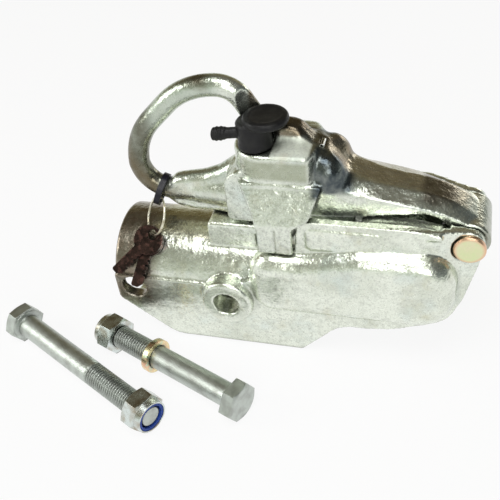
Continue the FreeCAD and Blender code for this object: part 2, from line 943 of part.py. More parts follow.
def lock_cap():
    low = housing_top_z + cap_gap
    top = low + cap_height
    stem = Part.makeCone(cap_r - 0.8, cap_r, top - low - 4, Vector(lock_x, lock_y, low), Vector(0, 0, 1))
    brim = rod_z(lock_x + cap_brim_shift, lock_y, cap_brim_r, top - cap_brim_t, top)
    brim = brim.makeChamfer(cap_brim_t / 3, [e for e in brim.Edges if e.BoundBox.XLength > cap_brim_r])
    tab_z = low + cap_height * 0.44
    tab_end = Vector(lock_x - 21, lock_y - 5, tab_z)
    tab = rod(Vector(lock_x, lock_y, tab_z), tab_end, 3.4)
    knob = rod(tab_end.add(Vector(1, 0, 0)), tab_end.sub(Vector(3.5, 0, 0)), 4.4)
    recess = rod_z(lock_x, lock_y, sleeve_r + 0.4, low - 1, housing_top_z + 2.6)
    return fuse_all([stem, brim, tab, knob]).cut(recess)


# Keys and their tie


def unit(x, y, z):
    v = Vector(x, y, z)
    v.normalize()
    return v


def tie_frame():
    """Point on the ring's centre line that the tie goes round, and three directions there."""
    a = radians(tie_angle)
    centre = Vector(ring_left_x + ring_corner_r, 0, ring_low_z + ring_corner_r)
    point = centre.add(Vector(-sin(a), 0, -cos(a)) * ring_corner_r)
    along = Vector(cos(a), 0, -sin(a))
    down = Vector(-sin(a), 0, -cos(a))
    b = radians(tie_lean)
    hang = down * cos(b) + Vector(0, -1, 0) * sin(b)
    return point, along, hang


def tie_loop(radius):
    corners = [
        (-radius, -radius, radius - 0.01),
        (radius + tie_room, -radius, radius - 0.01),
        (radius + tie_room, radius, radius - 0.01),
        (-radius, radius, radius - 0.01),
    ]
    return prism_z(corners, -tie_w / 2, tie_w / 2)


def key_tie():
    point, along, hang = tie_frame()
    band_solid = tie_loop(ring_r + tie_gap + tie_t).cut(tie_loop(ring_r + tie_gap))
    head = block(-4, 3, ring_r, ring_r + 5, -3.4, 3.4)
    tail = block(-5, -3.6, ring_r + 3, ring_r + 12, -tie_w / 2, tie_w / 2)
    band_solid = band_solid.fuse([head.cut(tie_loop(ring_r + tie_gap)), tail])
    side = along.cross(hang)
    band_solid.Placement = Placement(point, Rotation(hang, side, along, "ZXY"))
    return band_solid.removeSplitter()


def key_plane():
    """Direction away from the drawbar socket that both flat keys face, and down the slope."""
    a = radians(key_lean)
    out = Vector(0, -sin(a), cos(a))
    down = Vector(0, -cos(a), -sin(a))
    return out, down


def ring_hang():
    """Top and lowest point of the wire ring, and the wire's direction at both."""
    point, along, hang = tie_frame()
    top = point.add(hang * (ring_r + key_wire_gap + key_wire_r))
    fall = unit(-0.085, -0.60, -0.80)
    wire = Vector(0.7, -0.6, 0.38)
    wire = wire.sub(fall * wire.dot(fall))
    wire.normalize()
    return top, top.add(fall * (2 * key_ring_r)), wire


def key_ring():
    top, low, wire = ring_hang()
    middle = top.add(low) * 0.5
    normal = low.sub(top).cross(wire)
    normal.normalize()
    start = middle.add(wire * key_ring_r)
    outline = wire_outline(start, normal.cross(wire), key_wire_r)
    return Part.Face(outline).revolve(middle, normal, 360)


def key_hole_point(layer):
    """Where the wire crosses the middle plane of a key; layer 0 lies nearest the socket."""
    out, down = key_plane()
    top, low, wire = ring_hang()
    axis_point = Vector(low.x, 0, bolt_line_z)
    height = barrel_r + 2 * key_gap + key_t / 2 + layer * (key_t + key_gap)
    shift = (height - low.sub(axis_point).dot(out)) / wire.dot(out)
    return low.add(wire * shift)


def flat_key(layer, turn, notches):
    bow = rod_z(0, -key_bow_reach, key_bow_r, -key_t / 2, key_t / 2)
    start = -key_bow_reach - key_bow_r + 1
    end = start - key_blade_l
    half = key_blade_w / 2
    blade_outline = [
        (half, start),
        (half, end + 3),
        (half - 3, end),
        (-half + 1, end),
        (-half, end + 1),
        (-half, start),
    ]
    key = bow.fuse(prism_z(blade_outline, -key_t / 2, key_t / 2))
    cuts = [rod_z(0, 0, key_hole_r, -far, far)]
    for i, depth in enumerate(notches):
        y = start - 4 - 3.4 * i
        cuts.append(prism_z([(half + 1, y + 1.8), (half - depth, y), (half + 1, y - 1.8)], -key_t, key_t))
    key = key.cut(cuts)
    out, down = key_plane()
    lay = Rotation(Vector(1, 0, 0), down * -1, out, "ZXY")
    spin = Rotation(Vector(0, 0, 1), turn)
    key.Placement = Placement(key_hole_point(layer), lay.multiply(spin))
    return key.removeSplitter()


def key_1():
    return flat_key(0, key_1_turn, (1.4, 2.4, 1.0, 2.0))


def key_2():
    return flat_key(1, key_2_turn, (1.4, 2.4, 1.0, 2.0))


# Loose cross bolts


def hexagon(flats, low, high):
    corner = flats / sqrt(3)
    turns = [radians(30 + 60 * i) for i in range(6)]
    points = [Vector(corner * cos(a), corner * sin(a), low) for a in turns]
    face = Part.Face(Part.makePolygon(points + points[:1]))
    return face.extrude(Vector(0, 0, high - low))


def chamfered_hexagon(flats, low, high, both):
    body = hexagon(flats, low, high)
    reach = flats / 2 - hex_chamfer_in
    wide = reach + (high - low) / tan(radians(30))
    body = body.common(Part.makeCone(wide, reach, high - low, Vector(0, 0, low), Vector(0, 0, 1)))
    if both:
        body = body.common(Part.makeCone(reach, wide, high - low, Vector(0, 0, low), Vector(0, 0, 1)))
    return body


def cross_bolt(length):
    """Hexagon bolt along +Z, its head below z = 0."""
    head = chamfered_hexagon(hex_flats, 0, head_height, False)
    head.Placement = Placement(Vector(0, 0, 0), Rotation(Vector(1, 0, 0), 180))
    shank = rod_z(0, 0, bolt_r, -0.5, length)
    tip = [e for e in shank.Edges if e.CenterOfMass.z > length - 0.01]
    return fuse_all([head, shank.makeChamfer(1.5, tip)])


def lock_nut():
    """Nut with a round collar that grips the nylon ring; its seat is at z = 0."""
    nut = chamfered_hexagon(hex_flats, 0, nut_height, True)
    seat = Vector(0, 0, nut_height - 0.5)
    collar = Part.makeCone(hex_flats / 2 - 0.3, insert_r() + 1.0, nut_collar, seat, Vector(0, 0, 1))
    nut = nut.fuse(collar).cut(rod_z(0, 0, bolt_r + running_gap, -1, far))
    pocket = rod_z(0, 0, insert_r(), nut_height, far)
    return nut.cut(pocket).removeSplitter()


def insert_r():
    return bolt_r + 1.9


def nut_insert():
    ring = rod_z(0, 0, insert_r(), nut_height, nut_height + insert_t)
    return ring.cut(rod_z(0, 0, bolt_r + running_gap, 0, far))


def spring_washer():
    ring = rod_z(0, 0, bolt_r + 0.4 + washer_w, 0, washer_t).cut(rod_z(0, 0, bolt_r + 0.4, -1, 30))
    split = block(0, 30, -washer_split / 2, washer_split / 2, -10, 20)
    split.rotate(Vector(bolt_r, 0, washer_t / 2), Vector(1, 0, 0), 30)
    return ring.cut(split)


def loose_place(x, y, turn, length):
    """Lays a part made along +Z on the floor, its middle at x, y, its head to the rear."""
    along = Vector(cos(radians(turn)), sin(radians(turn)), 0)
    start = Vector(x, y, floor_z + hex_flats / 2).sub(along * (length / 2))
    side = Vector(0, 0, 1).cross(along)
    return Placement(start, Rotation(Vector(0, 0, 1), side, along, "ZYX"))


def laid(shape, place, shift=0.0):
    moved = shape.copy()
    moved.Placement = place.multiply(Placement(Vector(0, 0, shift), Rotation()))
    return moved


def nut_shift(length):
    """Distance from the bolt's head to the nut's seat; the tip ends inside the nylon ring."""
    return length - nut_height - insert_t + 0.8


def place_1():
    return loose_place(loose_1_x, loose_1_y, loose_1_turn, bolt_1_length)


def place_2():
    return loose_place(loose_2_x, loose_2_y, loose_2_turn + 180, bolt_2_length)


nodes = {
    "coupling_body": coupling_body,
    "handle_casting": handle_casting,
    "handle_pivot_pin": handle_pivot_pin,
    "pivot_pin_clip": pivot_pin_clip,
    "handle_spring": handle_spring,
    "ball_jaw": ball_jaw,
    "jaw_pivot_pin": jaw_pivot_pin,
    "jaw_pin_clips": jaw_pin_clips,
    "jaw_spring": jaw_spring,
    "lock_sleeve": lock_sleeve,
    "lock_barrel": lock_barrel,
    "lock_spindle": lock_spindle,
    "spindle_clip": spindle_clip,
    "lock_cap": lock_cap,
    "housing_roll_pin": housing_roll_pin,
    "key_tie": key_tie,
    "key_ring": key_ring,
    "key_1": key_1,
    "key_2": key_2,
    "long_bolt_1": lambda: laid(cross_bolt(bolt_1_length), place_1()),
    "lock_nut_1": lambda: laid(lock_nut(), place_1(), nut_shift(bolt_1_length)),
    "nut_insert_1": lambda: laid(nut_insert(), place_1(), nut_shift(bolt_1_length)),
    "long_bolt_2": lambda: laid(cross_bolt(bolt_2_length), place_2()),
    "lock_nut_2": lambda: laid(lock_nut(), place_2(), nut_shift(bolt_2_length)),
    "nut_insert_2": lambda: laid(nut_insert(), place_2(), nut_shift(bolt_2_length)),
    "spring_washer": lambda: laid(spring_washer(), place_2(), bolt_2_length - washer_place),
}

if __name__ == "__main__":
    os.makedirs("parts", exist_ok=True)
    for name, make in nodes.items():
        shape = make()
        print(name, shape.isValid(), len(shape.Solids), round(shape.Volume / 1000, 2))
        shape.exportStep("parts/" + name + ".step")
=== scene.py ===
import json
from math import cos, pi, radians, sin, sqrt

import bmesh
import bpy
import numpy as np
from mathutils import Matrix, Vector


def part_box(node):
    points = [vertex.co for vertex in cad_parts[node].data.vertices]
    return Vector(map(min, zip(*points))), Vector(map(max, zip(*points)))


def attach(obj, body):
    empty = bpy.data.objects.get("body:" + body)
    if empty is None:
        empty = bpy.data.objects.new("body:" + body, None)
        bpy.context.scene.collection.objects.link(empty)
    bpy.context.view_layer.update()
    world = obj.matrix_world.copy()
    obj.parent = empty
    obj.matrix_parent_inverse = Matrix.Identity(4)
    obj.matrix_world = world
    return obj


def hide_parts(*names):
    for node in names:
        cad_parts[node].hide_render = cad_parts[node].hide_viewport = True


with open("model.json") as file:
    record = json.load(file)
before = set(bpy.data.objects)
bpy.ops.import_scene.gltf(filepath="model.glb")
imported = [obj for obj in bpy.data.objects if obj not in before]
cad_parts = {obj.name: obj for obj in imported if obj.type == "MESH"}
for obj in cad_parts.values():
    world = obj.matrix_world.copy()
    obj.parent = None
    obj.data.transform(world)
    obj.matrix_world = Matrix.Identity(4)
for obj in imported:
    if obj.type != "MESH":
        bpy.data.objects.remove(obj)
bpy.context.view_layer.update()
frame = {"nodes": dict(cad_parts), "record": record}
nodes = frame["nodes"]
MM = 0.001

# Camera: the photograph's viewing angle, tilted about its own axis

camera_azimuth = radians(19)
camera_elevation = radians(40)
camera_roll = radians(7)
camera_target = Vector((-106.16, 1.32, 8.14)) * MM
camera_distance = 0.51995
camera_lens = 54.0
camera_sensor = 36.0


def make_camera():
    back = Vector((
        sin(camera_azimuth) * cos(camera_elevation),
        -cos(camera_azimuth) * cos(camera_elevation),
        sin(camera_elevation),
    ))
    level = Vector((0, 0, 1)).cross(back).normalized()
    upright = back.cross(level)
    right = level * cos(camera_roll) - upright * sin(camera_roll)
    up = level * sin(camera_roll) + upright * cos(camera_roll)
    data = bpy.data.cameras.new("camera")
    data.lens = camera_lens
    data.sensor_width = camera_sensor
    data.clip_start = 0.01
    camera = bpy.data.objects.new("camera", data)
    place = Matrix((right, up, back)).transposed().to_4x4()
    place.translation = camera_target + back * camera_distance
    camera.matrix_world = place
    bpy.context.scene.collection.objects.link(camera)
    bpy.context.scene.camera = camera


make_camera()
bpy.context.scene.view_settings.view_transform = "Standard"


# Light: a soft studio, brighter overhead and in front, darker behind

def make_area(name, place, aim, size, power, colour=(1, 1, 1)):
    data = bpy.data.lights.new(name, "AREA")
    data.shape = "RECTANGLE"
    data.size, data.size_y = size
    data.energy = power
    data.color = colour
    lamp = bpy.data.objects.new(name, data)
    lamp.location = place
    lamp.rotation_euler = (Vector(aim) - Vector(place)).to_track_quat("-Z", "Y").to_euler()
    bpy.context.scene.collection.objects.link(lamp)


middle = (-0.09, 0, 0.03)
make_area("lamp_top", (-0.10, -0.35, 1.10), middle, (0.7, 0.5), 6.0)
make_area("lamp_front", (0.25, -1.10, 0.75), middle, (0.9, 0.6), 5.5)
make_area("lamp_left", (-1.15, -0.35, 0.55), middle, (0.5, 0.6), 4.0)
make_area("lamp_rear", (0.45, 1.10, 0.25), middle, (0.4, 0.2), 1.0, (1.0, 0.95, 0.88))


# World: colours by height of the view direction, in front, behind and to the right

pale = (0.84, 0.88, 0.82)
overhead = (0.10, 0.09, 0.07)
world_front = [
    (0.06, pale), (0.30, (0.46, 0.48, 0.40)), (0.60, (0.30, 0.31, 0.25)), (1.0, (0.20, 0.20, 0.16)),
]
world_rear = [(0.06, pale), (0.22, (0.22, 0.18, 0.08)), (0.62, (0.12, 0.10, 0.055)), (1.0, overhead)]
world_right = [(0.05, pale), (0.16, (0.10, 0.12, 0.12)), (0.50, (0.05, 0.06, 0.065)), (1.0, overhead)]


def make_world():
    """A dim room: pale round the horizon, olive above it, dark overhead, cooler to the right."""
    world = bpy.data.worlds.new("studio")
    world.use_nodes = True
    tree = world.node_tree
    tree.nodes.clear()
    place = tree.nodes.new("ShaderNodeTexCoord")
    split = tree.nodes.new("ShaderNodeSeparateXYZ")
    tree.links.new(place.outputs["Generated"], split.inputs[0])

    def fade(value, low, high):
        made = tree.nodes.new("ShaderNodeMapRange")
        made.interpolation_type = "SMOOTHSTEP"
        made.inputs["From Min"].default_value = low
        made.inputs["From Max"].default_value = high
        tree.links.new(value, made.inputs["Value"])
        return made.outputs[0]

    def tones(value, colours):
        made = tree.nodes.new("ShaderNodeValToRGB")
        points = made.color_ramp.elements
        while len(points) < len(colours):
            points.new(0.5)
        for point, (position, colour) in zip(points, colours):
            point.position = position
            point.color = (*colour, 1)
        tree.links.new(value, made.inputs[0])
        return made.outputs[0]

    def mix(share, a, b):
        made = tree.nodes.new("ShaderNodeMix")
        made.data_type = "RGBA"
        tree.links.new(share, made.inputs["Factor"])
        tree.links.new(a, made.inputs["A"])
        tree.links.new(b, made.inputs["B"])
        return made.outputs["Result"]

    height = split.outputs["Z"]
    front = tones(height, world_front)
    rear = tones(height, world_rear)
    right = tones(height, world_right)
    seen = mix(fade(split.outputs["Y"], -0.25, 0.35), front, rear)
    seen = mix(fade(split.outputs["X"], 0.25, 0.75), seen, right)
    glow = tree.nodes.new("ShaderNodeBackground")
    tree.links.new(seen, glow.inputs["Color"])
    out = tree.nodes.new("ShaderNodeOutputWorld")
    tree.links.new(glow.outputs[0], out.inputs["Surface"])
    bpy.context.scene.world = world


make_world()


# Materials

noise_roughness = 0.55
noise_span = (0.25, 0.75)
shading_samples = 6


class Paint:
    """A node material built up call by call; its positions are in the row frame, in metres."""

    def __init__(self, name, colour, metallic, roughness):
        self.data = bpy.data.materials.new(name)
        self.data.use_nodes = True
        self.tree = self.data.node_tree
        self.shader = self.tree.nodes["Principled BSDF"]
        self.shader.inputs["Metallic"].default_value = metallic
        self.shader.inputs["Roughness"].default_value = roughness
        self.place = self.node("ShaderNodeTexCoord").outputs["Object"]
        self.colour = self.rgb(colour)
        self.roughness = None
        self.normal = None

    def node(self, kind, **values):
        made = self.tree.nodes.new(kind)
        for key, value in values.items():
            setattr(made, key, value)
        return made

    def rgb(self, colour):
        made = self.node("ShaderNodeRGB")
        made.outputs[0].default_value = (*colour, 1)
        return made.outputs[0]

    def link(self, source, target):
        self.tree.links.new(source, target)

    def noise(self, size, detail):
        """Noise whose features are about size metres wide."""
        made = self.node("ShaderNodeTexNoise")
        made.inputs["Scale"].default_value = 1 / size
        made.inputs["Detail"].default_value = detail
        made.inputs["Roughness"].default_value = noise_roughness
        self.link(self.place, made.inputs["Vector"])
        return made.outputs["Fac"]

    def cells(self, size):
        """Distance to the middle of the nearest cell; cells are about size metres wide."""
        made = self.node("ShaderNodeTexVoronoi", feature="F1")
        made.inputs["Scale"].default_value = 1 / size
        self.link(self.place, made.inputs["Vector"])
        return made.outputs["Distance"]

    def ramp(self, value, low, high, out_low=0.0, out_high=1.0):
        made = self.node("ShaderNodeMapRange")
        made.inputs["From Min"].default_value = low
        made.inputs["From Max"].default_value = high
        made.inputs["To Min"].default_value = out_low
        made.inputs["To Max"].default_value = out_high
        self.link(value, made.inputs["Value"])
        return made.outputs[0]

    def tint(self, value, colour):
        """Mixes colour in where value is 1."""
        made = self.node("ShaderNodeMix", data_type="RGBA")
        self.link(value, made.inputs["Factor"])
        self.link(self.colour, made.inputs["A"])
        made.inputs["B"].default_value = (*colour, 1)
        self.colour = made.outputs["Result"]

    def gloss(self, value, low, high):
        """Roughness that follows a noise from low to high."""
        self.roughness = self.ramp(value, *noise_span, low, high)

    def round_edges(self, radius):
        made = self.node("ShaderNodeBevel", samples=shading_samples)
        made.inputs["Radius"].default_value = radius
        self.normal = made.outputs[0]

    def bump(self, value, depth, strength):
        made = self.node("ShaderNodeBump")
        made.inputs["Distance"].default_value = depth
        made.inputs["Strength"].default_value = strength
        self.link(value, made.inputs["Height"])
        if self.normal:
            self.link(self.normal, made.inputs["Normal"])
        self.normal = made.outputs[0]

    def maths(self, operation, a, b):
        made = self.node("ShaderNodeMath", operation=operation)
        for value, socket in ((a, made.inputs[0]), (b, made.inputs[1])):
            if isinstance(value, float):
                socket.default_value = value
            else:
                self.link(value, socket)
        return made.outputs[0]

    def zone(self, low, high, soft):
        """1 inside a box of the row frame, in millimetres, fading to 0 over its soft border."""
        split = self.node("ShaderNodeSeparateXYZ")
        self.link(self.place, split.inputs[0])
        share = None
        for axis in range(3):
            for limit, inner in ((low[axis], low[axis] + soft), (high[axis], high[axis] - soft)):
                side = self.ramp(split.outputs[axis], limit * MM, inner * MM)
                share = side if share is None else self.maths("MULTIPLY", share, side)
        return share

    def oval(self, centre, reach, inner, outer):
        """Rises from 0 to 1 between two shares of an oval's reach, seen along Y."""
        split = self.node("ShaderNodeSeparateXYZ")
        self.link(self.place, split.inputs[0])
        squares = []
        for output, middle, half in (("X", centre[0], reach[0]), ("Z", centre[1], reach[1])):
            shifted = self.maths("SUBTRACT", split.outputs[output], middle * MM)
            shifted = self.maths("DIVIDE", shifted, half * MM)
            squares.append(self.maths("MULTIPLY", shifted, shifted))
        distance = self.maths("SQRT", self.maths("ADD", *squares), 0.0)
        return self.ramp(distance, inner, outer)

    def place_tint(self, share, colour, strength):
        """A tint by place whose border is broken up by cloudy noise."""
        cloud = self.ramp(self.noise(6 * MM, 4), 0.30, 0.62, strength * 0.75, strength)
        self.tint(self.maths("MULTIPLY", share, cloud), colour)

    def cavity(self, reach):
        """1 in corners and under overhangs, 0 on open faces."""
        made = self.node("ShaderNodeAmbientOcclusion", samples=shading_samples)
        made.inputs["Distance"].default_value = reach
        return self.ramp(made.outputs["AO"], 0.35, 0.9, 1.0, 0.0)

    def edge_highlight_share(self, radius):
        """1 on convex and concave edges, from the angle between the rounded and the true normal."""
        rounded = self.node("ShaderNodeBevel", samples=shading_samples)
        rounded.inputs["Radius"].default_value = radius
        true = self.node("ShaderNodeNewGeometry").outputs["Normal"]
        dot = self.node("ShaderNodeVectorMath", operation="DOT_PRODUCT")
        self.link(rounded.outputs[0], dot.inputs[0])
        self.link(true, dot.inputs[1])
        return self.ramp(dot.outputs["Value"], 0.98, 0.80)

    def done(self):
        self.link(self.colour, self.shader.inputs["Base Color"])
        if self.roughness:
            self.link(self.roughness, self.shader.inputs["Roughness"])
        if self.normal:
            self.link(self.normal, self.shader.inputs["Normal"])
        return self.data


cast_metallic = 0.94
matte_metallic = 0.25
matte_roughness = 0.3
oval_border = 6.0


def cast_zinc(name, colour, shade, patch, tints_and_shade=(), matte=None):
    """Zinc plated casting: sand grain, cloudy tint, tints by place, painted shade in corners, painted
    highlight on edges.
    """
    m = Paint(name, colour, cast_metallic, 0.4)
    m.tint(m.ramp(m.noise(30 * MM, 3), 0.46, 0.70, 0.0, 0.8), shade)
    m.tint(m.ramp(m.noise(17 * MM, 4), 0.58, 0.74, 0.0, 0.45), patch)
    m.tint(m.ramp(m.noise(22 * MM, 2), 0.55, 0.75, 0.0, 0.5), (0.62, 0.72, 0.70))
    m.tint(m.ramp(m.noise(4.5 * MM, 4), 0.48, 0.66, 0.0, 0.5), tuple(c * 0.72 for c in colour))
    m.tint(m.ramp(m.noise(1.4 * MM, 3), 0.52, 0.72, 0.0, 0.55), tuple(c * 0.5 for c in colour))
    for kind, *rest in tints_and_shade:
        if kind == "box":
            low, high, soft, tone, strength = rest
            m.place_tint(m.zone(low, high, soft), tone, strength)
        else:
            low, high, centre, reach, inner, outer, tone, strength = rest
            share = m.maths("MULTIPLY", m.zone(low, high, oval_border), m.oval(centre, reach, inner, outer))
            m.place_tint(share, tone, strength)
    # painted shade: corners and hollows darkened where ambient occlusion finds them
    m.tint(m.cavity(4 * MM), tuple(c * 0.30 for c in shade))
    # painted highlight: convex and concave edges brightened
    m.tint(m.maths("MULTIPLY", m.edge_highlight_share(0.8 * MM), 0.8), (0.93, 0.94, 0.90))
    m.gloss(m.noise(4 * MM, 4), 0.17, 0.33)
    if matte:
        dull = m.zone(*matte)
        m.link(m.ramp(dull, 0.0, 1.0, cast_metallic, matte_metallic), m.shader.inputs["Metallic"])
        m.roughness = m.maths("ADD", m.roughness, m.maths("MULTIPLY", dull, matte_roughness))
    m.round_edges(1.2 * MM)
    m.bump(m.noise(9 * MM, 3), 1.1 * MM, 0.7)
    m.bump(m.noise(2.2 * MM, 3), 0.18 * MM, 0.9)
    m.bump(m.cells(1.3 * MM), 0.03 * MM, 0.8)
    return m.done()


def plated(name, colour, shade, low=0.2, high=0.34, third=None, rim=None):
    """Plated or bright metal with a cloudy second tone and soft edges."""
    m = Paint(name, colour, 1.0, 0.28)
    m.tint(m.ramp(m.noise(7 * MM, 4), 0.42, 0.66), shade)
    if third:
        m.tint(m.ramp(m.noise(4 * MM, 2), 0.50, 0.62, 0.0, 0.9), third)
    if rim:
        centre, reach, tone = rim
        m.tint(m.oval(centre, (reach, reach), 0.74, 0.94), tone)
    # painted shade: corners and hollows darkened where ambient occlusion finds them
    m.tint(m.cavity(2.5 * MM), tuple(c * 0.2 for c in shade))
    m.gloss(m.noise(1.4 * MM, 4), low, high)
    m.round_edges(0.4 * MM)
    m.bump(m.noise(0.6 * MM, 3), 0.02 * MM, 0.8)
    return m.done()


def moulded(name, colour, shade, roughness, grain, sheen=0.5):
    """Moulded rubber or plastic: fine texture, dusty in places."""
    m = Paint(name, colour, 0.0, roughness)
    m.shader.inputs["Specular IOR Level"].default_value = sheen
    m.tint(m.ramp(m.noise(6 * MM, 5), 0.45, 0.75, 0.0, 0.7), shade)
    m.gloss(m.noise(2 * MM, 4), roughness - 0.08, roughness + 0.12)
    m.round_edges(0.5 * MM)
    m.bump(m.noise(grain * MM, 4), 0.05 * MM, 0.8)
    return m.done()


# Tints by place, most of them painted shade, shadow and reflection: a box as low corner, high corner, soft
# border, colour and strength, and an oval as the same corners, its centre and reach in X and Z, where it
# starts and ends, colour and strength

body_tone = (0.84, 0.88, 0.78)
body_shade = (0.64, 0.68, 0.58)
body_patch = (0.50, 0.47, 0.30)
body_tints_and_shadow = [
    # painted shadow: the rear end of the body dark brown where the hanging keys shade it
    ("box", (-300, -100, -22), (-158, 100, 100), 12.0, (0.17, 0.11, 0.07), 0.85),
    ("box", (-170, -20, 20), (-110, 100, 100), 8.0, (0.42, 0.36, 0.16), 0.6),
]

handle_tone = (0.77, 0.81, 0.72)
handle_shade = (0.58, 0.62, 0.53)
handle_patch = (0.44, 0.40, 0.26)
platform_matte = ((-80, -26, 101.5), (-56, -7, 108), 1.5)
ring_centre = (-133, 97)
ring_reach = (41, 38.7)
handle_painted_shade = [
    # painted reflection: ring and upper bar greyed, as they mirror the dim room
    ("box", (-300, -100, 68), (-108, 100, 200), 8.0, (0.44, 0.50, 0.42), 0.75),
    # painted reflection: left side of the ring nearly black
    ("box", (-300, -100, 52), (-154, 100, 134), 9.0, (0.13, 0.125, 0.09), 0.92),
    # painted reflection: outer band of the ring dark brown
    (
        "oval", (-300, -100, 52), (-116, 100, 200), ring_centre, ring_reach, 0.97, 1.12,
        (0.16, 0.13, 0.08), 0.85,
    ),
    # painted reflection: near face of the lock housing darker olive, as it tilts up towards the dim room
    ("box", (-104, -28, 86), (-56, -20, 101), 2.5, (0.36, 0.39, 0.28), 0.85),
    # painted reflection: top of the hump dark brown where it faces up
    ("box", (-96, -12, 107), (-30, 100, 200), 2.0, (0.17, 0.13, 0.08), 0.95),
    # painted shade: top of the housing round the arm root nearly black
    ("box", (-74, -8, 84), (-34, 14, 200), 3.0, (0.12, 0.10, 0.07), 0.93),
    # painted shadow: near side of the neck dark blue
    ("box", (-57, -100, 76), (-30, -5, 112), 3.5, (0.06, 0.075, 0.085), 1.0),
    # painted shadow: far side of the neck dark
    ("box", (-57, 8, 70), (-30, 100, 112), 4.0, (0.07, 0.085, 0.09), 0.95),
    # painted shade: top and far side of the arm browner
    ("box", (-50, -10, 60), (60, 100, 112), 5.0, (0.42, 0.34, 0.24), 0.6),
    # painted shade: front part of the arm dark
    ("box", (6, -17, 66), (60, 100, 112), 4.0, (0.15, 0.13, 0.10), 0.9),
    # painted shadow: nose under the arm tip darker
    ("box", (42, -100, 40), (60, 100, 80), 4.0, (0.25, 0.25, 0.20), 0.6),
]

paints = {
    "zinc_body": cast_zinc("zinc_body", body_tone, body_shade, body_patch, body_tints_and_shadow),
    "zinc_handle": cast_zinc(
        "zinc_handle", handle_tone, handle_shade, handle_patch, handle_painted_shade, platform_matte,
    ),
    "passivated_pin": plated(
        "passivated_pin", (0.72, 0.78, 0.46), (0.80, 0.76, 0.52), 0.25, 0.4,
        rim=((38, 48), 9.5, (0.84, 0.54, 0.36)),
    ),
    "spring_steel": plated("spring_steel", (0.30, 0.30, 0.31), (0.18, 0.17, 0.17)),
    "cast_jaw": cast_zinc("cast_jaw", (0.32, 0.32, 0.32), (0.22, 0.21, 0.20), (0.16, 0.13, 0.10)),
    "steel_pin": plated("steel_pin", (0.55, 0.55, 0.56), (0.45, 0.44, 0.43)),
    "zinc_sleeve": plated("zinc_sleeve", (0.30, 0.29, 0.32), (0.18, 0.17, 0.20)),
    "brass_barrel": plated("brass_barrel", (0.72, 0.55, 0.26), (0.55, 0.40, 0.18)),
    "black_rubber": moulded(
        "black_rubber", (0.008, 0.008, 0.009), (0.020, 0.020, 0.019), 0.42, 0.8, 0.25,
    ),
    "bright_steel": plated("bright_steel", (0.85, 0.86, 0.85), (0.70, 0.71, 0.68)),
    "black_nylon": moulded("black_nylon", (0.008, 0.008, 0.014), (0.02, 0.02, 0.03), 0.34, 0.6, 0.3),
    "key_wire": plated("key_wire", (0.80, 0.78, 0.68), (0.52, 0.46, 0.34)),
    "key_steel": plated(
        "key_steel", (0.080, 0.048, 0.042), (0.03, 0.022, 0.02), 0.20, 0.36, third=(0.17, 0.09, 0.08),
    ),
    "galvanised_bolt": plated("galvanised_bolt", (0.55, 0.59, 0.55), (0.42, 0.44, 0.41), 0.36, 0.52),
    "zinc_nut": plated("zinc_nut", (0.70, 0.76, 0.74), (0.42, 0.38, 0.30)),
    "blue_nylon": moulded("blue_nylon", (0.02, 0.06, 0.32), (0.03, 0.08, 0.38), 0.4, 0.6, 0.3),
    "passivated_washer": plated(
        "passivated_washer", (0.86, 0.74, 0.44), (0.82, 0.46, 0.32), third=(0.60, 0.72, 0.52),
    ),
}


def paint(obj, slot):
    obj.data.materials.clear()
    obj.data.materials.append(paints[slot])


for part in frame["record"]["subparts"]:
    paint(nodes[part["node"]], part["material_slot"])


# Shapes made as stacked rings of points

ring_count = 48
turns = [2 * pi * i / ring_count for i in range(ring_count)]
crease_angle = radians(32)


def smooth_faces(data):
    for face in data.polygons:
        face.use_smooth = True


def ring_mesh(name, rings):
    """Skin over rings of the same number of points, each end closed by a fan about its middle."""
    mesh = bmesh.new()
    made = [[mesh.verts.new(p) for p in ring] for ring in rings]
    count = len(rings[0])
    for low, high in zip(made, made[1:]):
        for i in range(count):
            j = (i + 1) % count
            mesh.faces.new((low[i], low[j], high[j], high[i]))
    for ring, flip in ((made[0], True), (made[-1], False)):
        centre = mesh.verts.new(sum((v.co for v in ring), Vector()) / count)
        for i in range(count):
            a, b = ring[i], ring[(i + 1) % count]
            mesh.faces.new((centre, b, a) if flip else (centre, a, b))
    bmesh.ops.recalc_face_normals(mesh, faces=mesh.faces)
    data = bpy.data.meshes.new(name)
    mesh.to_mesh(data)
    mesh.free()
    smooth_faces(data)
    data.set_sharp_from_angle(angle=crease_angle)
    return data


def add_piece(name, data, place, body, node, slot):
    """A piece that stands for a CAD node, with its mesh points set in the row frame."""
    data.transform(place)
    obj = bpy.data.objects.new(name, data)
    bpy.context.scene.collection.objects.link(obj)
    paint(obj, slot)
    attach(obj, body)
    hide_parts(node)


def circle(radius, z, shift_x=0.0):
    """One ring of points; radius is a number or a function of the angle."""
    points = []
    for a in turns:
        r = radius(a) if callable(radius) else radius
        points.append(Vector((r * cos(a) + shift_x, r * sin(a), z)) * MM)
    return points


# Surfaces that are divided into small voxels and smoothed, so that corners and fillets are soft

smoothing_factor = 0.5
zone_levels = 8


def evaluated(obj):
    ready = obj.evaluated_get(bpy.context.evaluated_depsgraph_get())
    return bpy.data.meshes.new_from_object(ready)


def divided(name, meshes, voxel):
    """An object of all the meshes as one skin of small voxels; the meshes are used up."""
    joined = bmesh.new()
    for mesh in meshes:
        joined.from_mesh(mesh)
        bpy.data.meshes.remove(mesh)
    rough = bpy.data.meshes.new(name + "_rough")
    joined.to_mesh(rough)
    joined.free()
    obj = bpy.data.objects.new(name + "_rough", rough)
    bpy.context.scene.collection.objects.link(obj)
    remesh = obj.modifiers.new("divide", "REMESH")
    remesh.mode = "VOXEL"
    remesh.voxel_size = voxel
    fine = evaluated(obj)
    obj.modifiers.clear()
    obj.data = fine
    bpy.data.meshes.remove(rough)
    return obj


